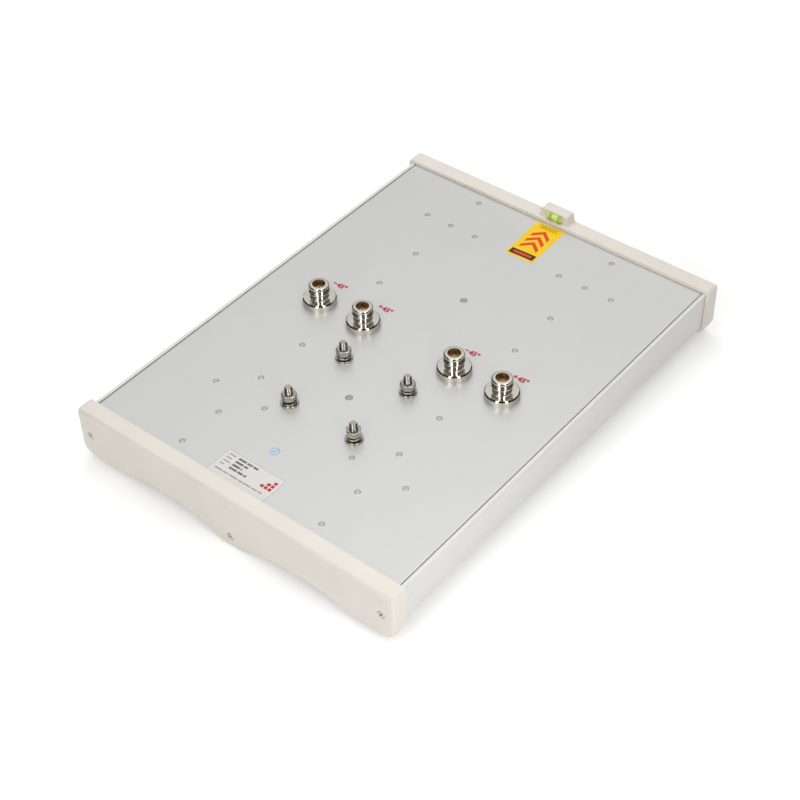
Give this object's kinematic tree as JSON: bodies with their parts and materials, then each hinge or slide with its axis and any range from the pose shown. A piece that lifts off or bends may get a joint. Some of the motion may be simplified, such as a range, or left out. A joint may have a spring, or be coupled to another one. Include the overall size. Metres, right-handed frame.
{
  "type": "sector antenna",
  "caption": "Flat panel sector antenna with a wave-fronted radome, aluminium back plate, coaxial jacks, mounting studs and moulded end caps, one with a spirit level.",
  "frame": {"origin": "centre of the stud square on the back plate's outer face", "axes": "+Z out of the back plate along the studs, +Y along the panel towards the end cap with the spirit level, +X across the panel"},
  "size_m": [0.29, 0.393, 0.0631],
  "materials": {
    "radome": "smooth extruded PVC",
    "back_plate": "satin anodised",
    "end_cap": "fine moulded ASA",
    "fixings": "plain steel",
    "vial": "clear acrylic",
    "vial_fluid": "clear tinted liquid",
    "connector": "bright nickel plate",
    "insulator": "PTFE and nylon",
    "contact": "gold plate",
    "seal": "moulded rubber",
    "studs": "bright nickel plate",
    "feed_board": "glass-fibre laminate",
    "radiator": "mill finish"
  },
  "bodies": {
    "root": {"radome": "radome", "back_plate": "back_plate", "top_end_cap": "end_cap", "bottom_end_cap": "end_cap", "top_cap_screws": "fixings", "bottom_cap_screws": "fixings", "level_vial": "vial", "level_fluid": "vial_fluid", "connector_1_body": "connector", "connector_1_insulator": "insulator", "connector_1_contact": "contact", "connector_1_oring": "seal", "connector_1_nut": "connector", "connector_2_body": "connector", "connector_2_insulator": "insulator", "connector_2_contact": "contact", "connector_2_oring": "seal", "connector_2_nut": "connector", "connector_3_body": "connector", "connector_3_insulator": "insulator", "connector_3_contact": "contact", "connector_3_oring": "seal", "connector_3_nut": "connector", "connector_4_body": "connector", "connector_4_insulator": "insulator", "connector_4_contact": "contact", "connector_4_oring": "seal", "connector_4_nut": "connector", "mounting_studs": "studs", "stud_flat_washers": "studs", "stud_spring_washers": "studs", "stud_nuts": "studs", "left_standoffs": "fixings", "right_standoffs": "fixings", "left_feed_board": "feed_board", "right_feed_board": "feed_board", "left_board_screws": "fixings", "right_board_screws": "fixings", "left_patches": "radiator", "right_patches": "radiator", "left_patch_spacers": "insulator", "right_patch_spacers": "insulator", "divider": "radiator", "divider_rivets": "fixings"}
  },
  "joints": []
}
